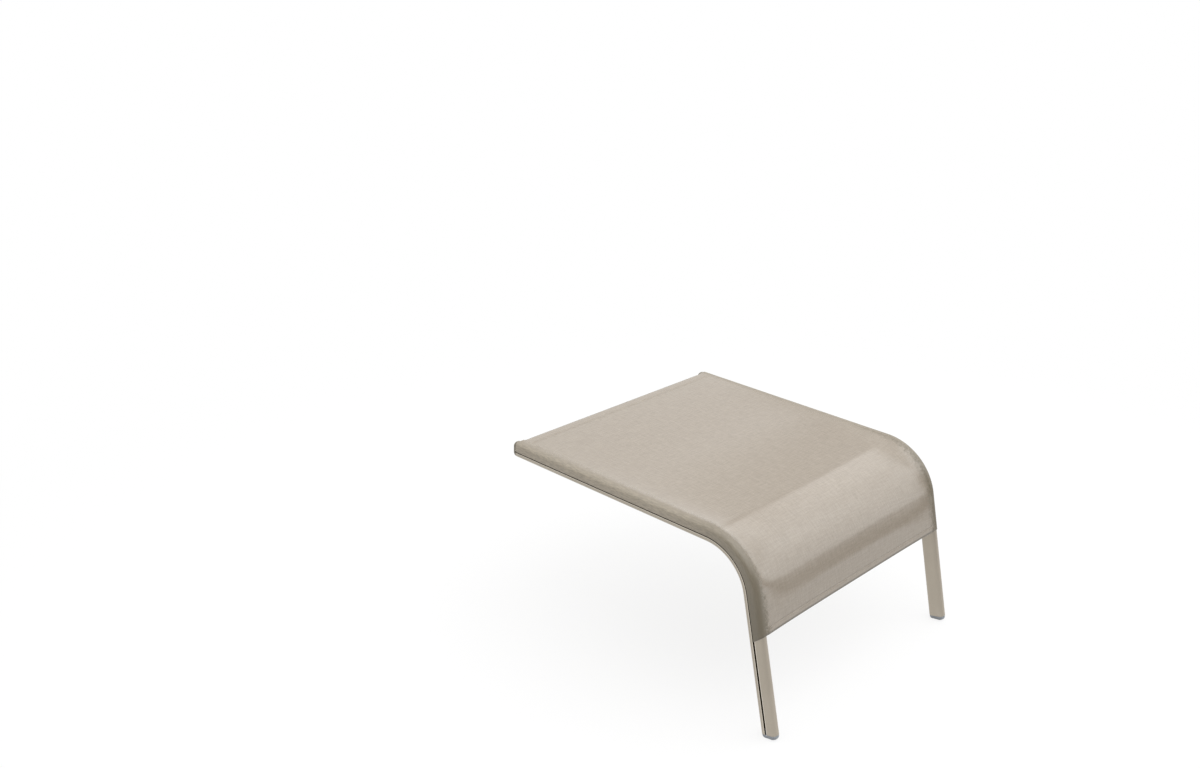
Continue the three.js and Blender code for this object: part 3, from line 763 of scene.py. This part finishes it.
weft_place = {0: across * THREAD_CLOUDS, 1: weft_thread * THREAD_SHIFT, 2: 9.0}
warp_tone = start.node("CombineXYZ", None, warp_place).noise(1.0, 2.0, 0.7)
weft_tone = start.node("CombineXYZ", None, weft_place).noise(1.0, 2.0, 0.7)
tone = over_warp * warp_tone + (1.0 - over_warp) * weft_tone
cloth_colour = tone.between(0.32, 0.68).blend(colour(153, 141, 125), colour(170, 158, 142))
hollow = (1.0 - thread_height).between(0.15, 0.75)
# painted shade in the hollows between threads
cloth_colour = (hollow * 0.4).blend(cloth_colour, colour(118, 107, 93))
soiled = on_piece.noise(7.0, 3.0).between(0.35, 0.75)
cloth_colour = (soiled * 0.05).blend(cloth_colour, colour(150, 139, 122))

# over the rails the cloth is less glossy and has painted shade, streaked and deepest low on the legs,
# and it is lighter again where it goes down the rails' outer wall
from_middle = across.maths("ABSOLUTE")
low_down = 1.0 - along.between(0.0, LOW_DOWN_TO)
mottle = (on_piece.noise(230.0, 3.0, 0.8) - 0.5) * 0.06
over_rail = (from_middle + mottle + low_down * 0.005).between(RAIL_TOP_FROM, RAIL_EDGE_AT)
on_wall = from_middle.between(RAIL_EDGE_AT, RAIL_WALL_FROM)
streak_place = {0: across * 450.0, 1: along * 80.0}
streaks = start.node("CombineXYZ", None, streak_place).noise(1.0, 3.0, 0.7).between(0.4, 0.6)
# painted shade over the rails, with darker streaks in it
cloth_colour = (over_rail * 0.5).blend(cloth_colour, colour(148, 137, 118))
cloth_colour = (on_wall * 0.9).blend(cloth_colour, colour(187, 175, 154))
cloth_colour = (over_rail * streaks * 0.55).blend(cloth_colour, colour(132, 122, 105))
# the deepest painted shade, low on the legs
cloth_colour = (over_rail * low_down * 0.93).blend(cloth_colour, colour(98, 87, 63))

# painted shade along the hem's seam and its fold
seam_line = 1.0 - (along - HEM_HEIGHT).maths("ABSOLUTE").between(0.0003, 0.0012)
fold_line = 1.0 - along.between(0.0014, 0.0046)
cloth_colour = (seam_line * 0.5).blend(cloth_colour, colour(96, 86, 68))
cloth_colour = (fold_line * 0.9).blend(cloth_colour, colour(96, 86, 68))
weave_bump = start.node("Bump", None, {"Strength": 0.3, "Distance": 0.00006, "Height": thread_height})
paint(weave_shader, start, {"Base Color": cloth_colour, "Roughness": hollow * 0.06 + over_rail * 0.3 + 0.15,
                            "Specular IOR Level": 0.95, "IOR": 1.6, "Normal": weave_bump})
sling = piece("sling_cloth", woven("sling_cloth", sling_rows), weave, "sling_cloth", "sling", sharp=0)
thicken(sling)
cloth_long = HEM_TURNED_UNDER + HEM_FOLD_LENGTH + TURN_CENTRE - HEM_UP_LEG + TURN_RADIUS * math.pi / 2

# Hem stitching: one row of lock stitches in taupe thread along the hem's upper edge, and two along
# the rear where the pocket is sewn on.
STITCH_PITCH = 0.0034
STITCH_LENGTH = 0.0027
STITCH_RINGS = 7
STITCH_SIDES = 8
THREAD_RADIUS = 0.00033
REAR_SEAM_ROWS = (TURN_CENTRE - 0.0135, TURN_CENTRE - 0.0175)
REAR_SEAM_HALF = TURN_HALF - 0.003
REAR_SEAM_LIFT = -0.0002


def stitch(middle, direction, outward):
    """Rings round a short bead of thread whose ends sink into the cloth."""
    side = direction.cross(outward).normalized()
    rings = []
    for i in range(STITCH_RINGS):
        share = i / (STITCH_RINGS - 1) * 2 - 1
        thick = THREAD_RADIUS * math.sqrt(max(1 - share * share * 0.9, 0.05))
        lift = THREAD_RADIUS * (0.9 - 1.5 * share * share)
        centre = middle + direction * (STITCH_LENGTH / 2 * share) + outward * lift
        angles = [2 * math.pi * k / STITCH_SIDES for k in range(STITCH_SIDES)]
        rings.append([centre + side * (thick * math.cos(a)) + outward * (thick * math.sin(a))
                      for a in angles])
    return [rings]


thread, thread_shader, start = material("sewing_thread")
here = start.node("TexCoord", output="Object")
twist = here.stretched(1.0, 0.6, 0.6).noise(2600.0, 1.0)
thread_colour = twist.between(0.35, 0.65).blend(colour(150, 138, 121), colour(172, 160, 143))
thread_bump = start.node("Bump", None, {"Strength": 0.3, "Distance": 0.0001, "Height": twist})
paint(thread_shader, start, {"Base Color": thread_colour, "Roughness": twist * 0.15 + 0.5,
                             "Normal": thread_bump})


def stitch_row(distance, half, lift):
    """A row of lock stitches across the cloth."""
    heading = place(distance)[2]
    out_of_rails = Vector((0, -math.sin(heading), math.cos(heading)))
    row = []
    count = int(2 * half / STITCH_PITCH)
    for i in range(count):
        x = -half + (i + 0.5) * 2 * half / count
        middle = cloth_point(distance, x, CLOTH_MIDDLE_T + CLOTH / 2, 0.0, lift)
        near = cloth_point(distance, x + 0.0005, CLOTH_MIDDLE_T + CLOTH / 2, 0.0, lift)
        direction = (near - middle).normalized()
        outward = (out_of_rails - direction * out_of_rails.dot(direction)).normalized()
        row.append(stitch(middle, direction, outward))
    return row


hem_seam = HEM_UP_LEG + HEM_HEIGHT
hem_row = stitch_row(hem_seam, TURN_HALF, hem_lift(hem_seam))
hem_stitches = piece("hem_stitches", skinned("hem_stitches", hem_row), thread, "sling_cloth")
seam_rows = [bead for at in REAR_SEAM_ROWS for bead in stitch_row(at, REAR_SEAM_HALF, REAR_SEAM_LIFT)]
rear_stitches = piece("rear_stitches", skinned("rear_stitches", seam_rows), thread, "sling_cloth")
2 * HALF_WIDTH_FLAT

# Rear hem pocket: a strip of the same cloth, sewn under the rear edge with the two rear rows of
# stitches and drawn round the rear tube.
POCKET_MIDDLE = TUBE_RADIUS + 0.0006 + CLOTH / 2
POCKET_FLAP = 0.012
POCKET_FLAP_FROM = -0.0152
POCKET_FLAP_T = CLOTH_MIDDLE_T - CLOTH - 0.0002 - REAR_TUBE_T
POCKET_COLUMNS = 24
round_tube = arc(0, 0, POCKET_MIDDLE, -2, -157, 30)
rise = [(-0.0117, POCKET_FLAP_T - 0.0035), (-0.0124, POCKET_FLAP_T - 0.0014),
        (-0.0136, POCKET_FLAP_T - 0.0003), (POCKET_FLAP_FROM, POCKET_FLAP_T)]
sewn_flap = [(POCKET_FLAP_FROM - POCKET_FLAP * i / 4, POCKET_FLAP_T) for i in range(1, 5)]
pocket_line = round_tube + rise + sewn_flap
lengths = [0.0]
for (s0, t0), (s1, t1) in zip(pocket_line, pocket_line[1:]):
    lengths.append(lengths[-1] + math.hypot(s1 - s0, t1 - t0))
pocket_across = [-TURN_HALF + 2 * TURN_HALF * i / POCKET_COLUMNS for i in range(POCKET_COLUMNS + 1)]
pocket_rows = [[(beside(TURN_CENTRE + s, x, REAR_TUBE_T + t), x, length) for x in pocket_across]
               for (s, t), length in zip(pocket_line, lengths)]
pocket = piece("rear_pocket", woven("rear_pocket", pocket_rows), weave, "sling_cloth", "rear_hem_pocket",
               sharp=0)
thicken(pocket)

# Foot glides: grey nylon plugs pressed into the legs, with a low dome that is cut level on the floor
# and scuffed there.
PLUG_INSET = 0.0004
PLUG_STEM_SIZE = 0.72
DOME_STEPS = 14
DOME_TIP_SIZE = 0.04
nylon, nylon_shader, start = material("grey_nylon")
here = start.node("TexCoord", output="Object")
grain = here.noise(1800.0, 2.0)
scuff = here.noise(260.0, 4.0, 0.7).between(0.5, 0.75)
low_down = 1.0 - here.axis(2).between(0.0, 0.006)
nylon_colour = grain.between(0.3, 0.7).blend(colour(158, 163, 169), colour(172, 176, 181))
nylon_colour = (scuff * low_down * 0.7).blend(nylon_colour, colour(112, 108, 101))
nylon_height = grain + scuff * low_down
nylon_bump = start.node("Bump", None, {"Strength": 0.25, "Distance": 0.0002, "Height": nylon_height})
paint(nylon_shader, start, {"Base Color": nylon_colour, "Specular IOR Level": 0.3,
                            "Roughness": scuff * low_down * 0.2 + 0.36, "Normal": nylon_bump})
plug_outline = rounded_bar(RAIL_HALF[0] - PLUG_INSET, RAIL_HALF[1] - PLUG_INSET, RAIL_CORNER - PLUG_INSET)


def domed_plug(end, way_along, side, flange, dome, fullness, stem):
    """A flange as wide as the rail, a dome outside it and a stem inside the tube."""
    def ring(distance, size):
        return [beside(distance, side * (RAIL_X + s * size), t * size) for s, t in plug_outline]
    face = end + way_along * SEAM
    rings = [ring(face - way_along * stem, PLUG_STEM_SIZE), ring(face, PLUG_STEM_SIZE), ring(face, 0.99),
             ring(face + way_along * 0.0002, 1.0), ring(face + way_along * flange, 1.0)]
    for i in range(1, DOME_STEPS + 1):
        turn = math.pi / 2 * i / DOME_STEPS
        size = max(math.cos(turn) ** fullness, DOME_TIP_SIZE)
        rings.append(ring(face + way_along * (flange + dome * math.sin(turn)), size))
    return rings


for side, way in SIDES:
    glide_rings = domed_plug(LEG_END_GAP, -1, way, flange=0.0018, dome=0.0066, fullness=0.5, stem=0.009)
    for ring in glide_rings:
        for point in ring:
            point.z = max(point.z, 0.0)
    piece(f"{side}_glide", skinned(f"{side}_glide", [[glide_rings]]), nylon, "grey_nylon",
          f"{side}_foot_glide")

# Rail end caps: taupe plastic, domed, pressed into the rails' rear ends. Coloured a shade darker
# than the rails as painted shade, for the domes face away from the light.
cap_plastic, cap_shader, start = material("cap_plastic")
here = start.node("TexCoord", output="Object")
grain = here.noise(1500.0, 3.0)
# painted shade: the caps are coloured a shade darker than the rails' coat
cap_colour = grain.between(0.3, 0.7).blend(colour(122, 114, 98), colour(134, 126, 110))
cap_bump = start.node("Bump", None, {"Strength": 0.3, "Distance": 0.0002, "Height": grain})
paint(cap_shader, start, {"Base Color": cap_colour, "Roughness": grain * 0.1 + 0.42, "Normal": cap_bump})
for side, way in SIDES:
    cap_rings = domed_plug(RAIL_LENGTH, 1, way, flange=0.0012, dome=0.0072, fullness=0.58, stem=0.0044)
    piece(f"{side}_cap", skinned(f"{side}_cap", [[cap_rings]]), cap_plastic, "cap_plastic",
          f"{side}_rail_end_cap")

# Hooks: flat aluminium bars, 30 by 5 mm, bent down behind to hold the rail that carries the rear end.
# Coated like the rails, and screwed under the hook tube.
HOOK_X = 0.15
HOOK_HALF = 0.015
HOOK_THICK = 0.005
HOOK_BEHIND_END = 0.0365
HOOK_DROP = 0.024
HOOK_BEND = 0.008
HOOK_CORNER = 0.001
HOOK_EDGE = 0.0009
EDGE_STEPS = 4
HOOK_FRONT = -HOOK_TUBE_FROM_END - 0.014
ARM_TOP = HOOK_TUBE_T - TUBE_RADIUS - SEAM
ARM_BOTTOM = ARM_TOP - HOOK_THICK
LIP_END = ARM_BOTTOM - HOOK_DROP


def bar_across(name, outline, middle, half, edge_radius):
    """An outline in the side view, made as wide as the bar, with its long edges eased."""
    offsets = [(-half, edge_radius)]
    for i in range(1, EDGE_STEPS + 1):
        turn = math.pi / 2 * (1 - i / EDGE_STEPS)
        offsets.append((-half + edge_radius * (1 - math.sin(turn)), edge_radius * (1 - math.cos(turn))))
    offsets += [(-x, inset) for x, inset in reversed(offsets)]
    rows = [[beside(RAIL_LENGTH + s, middle + x, t) for s, t in inset_outline(outline, inset)]
            for x, inset in offsets]
    return skinned(name, [[rows]])


def inset_outline(outline, inset):
    """The outline moved inwards by this much."""
    moved = []
    count = len(outline)
    area = sum(outline[i - 1][0] * outline[i][1] - outline[i][0] * outline[i - 1][1] for i in range(count))
    turn = 1 if area > 0 else -1
    for i in range(count):
        (s0, t0), (s1, t1), (s2, t2) = outline[i - 1], outline[i], outline[(i + 1) % count]
        first = Vector((s1 - s0, t1 - t0)).normalized()
        second = Vector((s2 - s1, t2 - t1)).normalized()
        bisector = (first + second).normalized()
        normal = Vector((-bisector.y, bisector.x)) * turn
        spread = max(normal.dot(Vector((-first.y, first.x)) * turn), 0.4)
        moved.append((s1 + normal.x * inset / spread, t1 + normal.y * inset / spread))
    return moved


in_bend = HOOK_BEND - HOOK_THICK
lip_front = HOOK_BEHIND_END - HOOK_THICK
hook_outline = (
    arc(HOOK_FRONT + HOOK_CORNER, ARM_TOP - HOOK_CORNER, HOOK_CORNER, 90, 180, 4)
    + arc(HOOK_FRONT + HOOK_CORNER, ARM_BOTTOM + HOOK_CORNER, HOOK_CORNER, 180, 270, 4)
    + arc(lip_front - in_bend, ARM_BOTTOM - in_bend, in_bend, 90, 0, 10)
    + arc(lip_front + HOOK_THICK / 2, LIP_END, HOOK_THICK / 2, 180, 360, 14)
    + arc(HOOK_BEHIND_END - HOOK_BEND, ARM_TOP - HOOK_BEND, HOOK_BEND, 0, 90, 16))
for side, way in SIDES:
    bar = bar_across(f"{side}_hook", hook_outline, way * HOOK_X, HOOK_HALF, HOOK_EDGE)
    piece(f"{side}_hook", bar, coat, "coated_aluminium", f"{side}_chair_hook")

# Hook liners: grey nylon strips glued in the hooks' mouths, so that the hooks don't scratch the rail
# they hold.
LINER = 0.002
LINER_START = -0.0015
LINER_CORNER = 0.0008
LINER_EDGE = 0.0003
liner_top = ARM_BOTTOM - SEAM
liner_back = lip_front - SEAM
liner_bend = in_bend - SEAM
liner_under = liner_top - LINER
liner_front = liner_back - LINER
liner_outline = (
    [(LINER_START, liner_top)]
    + arc(LINER_START + LINER_CORNER, liner_under + LINER_CORNER, LINER_CORNER, 180, 270, 3)
    + arc(liner_front - LINER_CORNER, liner_under - LINER_CORNER, LINER_CORNER, 90, 0, 4)
    + [(liner_front, LIP_END), (liner_back, LIP_END)]
    + arc(liner_back - liner_bend, liner_top - liner_bend, liner_bend, 0, 90, 8))
for side, way in SIDES:
    strip = bar_across(f"{side}_liner", liner_outline, way * HOOK_X, HOOK_HALF, LINER_EDGE)
    piece(f"{side}_liner", strip, nylon, "grey_nylon", f"{side}_hook_liner")

# Hook screws: zinc-plated, two to a hook, with a low round head and a hexagon socket, driven up
# through the hook into the hook tube.
SCREW_RADIUS = 0.0025
SCREW_HEAD_RADIUS = 0.005
SCREW_HEAD_HEIGHT = 0.003
SCREW_REACH = 0.008
SCREW_TIP = 0.0006
SCREW_TIP_SIZE = 0.8
SCREW_HEAD_DOME = ((1.0, 0.0), (1.0, 0.22), (0.97, 0.42), (0.9, 0.62), (0.78, 0.8), (0.62, 0.93),
                   (0.45, 0.99))
SCREW_OFFSETS = (("inner", -0.008), ("outer", 0.008))
SOCKET_HALF = 0.0016
SOCKET_DEEP = 0.0016
SCREW_SIDES = 36


def screw_mesh(name, x):
    """Rings from the screw's tip down its shank, round its head and up into the socket."""
    def ring(radius, t, hexagon=False):
        points = []
        for i in range(SCREW_SIDES):
            angle = 2 * math.pi * i / SCREW_SIDES
            reach = radius
            if hexagon:
                reach = radius / math.cos((angle % (math.pi / 3)) - math.pi / 6)
            points.append(beside(RAIL_LENGTH - HOOK_TUBE_FROM_END + reach * math.sin(angle),
                                 x + reach * math.cos(angle), t))
        return points
    tip_t = ARM_TOP + SCREW_REACH
    seat_t = ARM_BOTTOM - SEAM
    head_t = seat_t - SCREW_HEAD_HEIGHT
    rings = [ring(SCREW_RADIUS * SCREW_TIP_SIZE, tip_t), ring(SCREW_RADIUS, tip_t - SCREW_TIP),
             ring(SCREW_RADIUS, seat_t)]
    rings += [ring(SCREW_HEAD_RADIUS * size, seat_t - SCREW_HEAD_HEIGHT * down)
              for size, down in SCREW_HEAD_DOME]
    rings += [ring(SOCKET_HALF, head_t, hexagon=True),
              ring(SOCKET_HALF, head_t + SOCKET_DEEP, hexagon=True)]
    return skinned(name, [[rings]])


for side, way in SIDES:
    for which, offset in SCREW_OFFSETS:
        name = f"{side}_{which}_screw"
        piece(name, screw_mesh(name, way * (HOOK_X + offset)), zinc, "zinc_steel",
              f"{side}_hook_{which}_screw")
